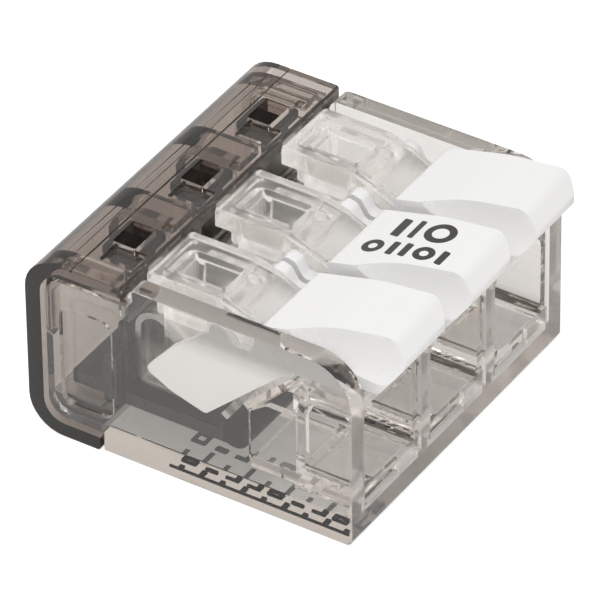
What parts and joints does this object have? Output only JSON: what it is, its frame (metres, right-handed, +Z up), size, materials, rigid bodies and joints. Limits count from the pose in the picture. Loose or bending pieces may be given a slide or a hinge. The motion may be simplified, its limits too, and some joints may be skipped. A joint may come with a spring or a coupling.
{
  "type": "lever wire connector",
  "caption": "Splicing connector with a clear housing, a smoke-tinted rear cover and white flip-up clamping levers side by side.",
  "frame": {"origin": "middle of the flat underside of the housing and cover, at mid-width and mid-depth of the case", "axes": "+Z up out of the levers' side, wires enter the front from -Y, the rear cover faces +Y, +X runs across the poles"},
  "size_m": [0.019, 0.0198, 0.0112],
  "materials": {
    "clear_plastic": "polished, transparent",
    "smoke_plastic": "polished, transparent, grey-brown tint",
    "white_plastic": "smooth moulded",
    "tinned_copper": "matt tin plating",
    "spring_steel": "bright rolled strip"
  },
  "bodies": {
    "housing_body": {"housing": "clear_plastic", "rear_cover": "smoke_plastic", "busbar": "tinned_copper", "clamp_spring_1": "spring_steel", "clamp_spring_2": "spring_steel", "clamp_spring_3": "spring_steel"},
    "lever_body_1": {"lever_1": "white_plastic"},
    "lever_body_2": {"lever_2": "white_plastic"},
    "lever_body_3": {"lever_3": "white_plastic"}
  },
  "joints": [
    {"name": "lever_hinge_1", "type": "hinge", "parent": "housing_body", "child": "lever_body_1", "pos_m": [-0.0058, 0.0009, 0.0061], "axis": [-1, 0, 0], "range_deg": [0, 90], "deforming": ["clamp_spring_1"]},
    {"name": "lever_hinge_2", "type": "hinge", "parent": "housing_body", "child": "lever_body_2", "pos_m": [0, 0.0009, 0.0061], "axis": [-1, 0, 0], "range_deg": [0, 90], "deforming": ["clamp_spring_2"]},
    {"name": "lever_hinge_3", "type": "hinge", "parent": "housing_body", "child": "lever_body_3", "pos_m": [0.0058, 0.0009, 0.0061], "axis": [-1, 0, 0], "range_deg": [0, 90], "deforming": ["clamp_spring_3"]}
  ]
}
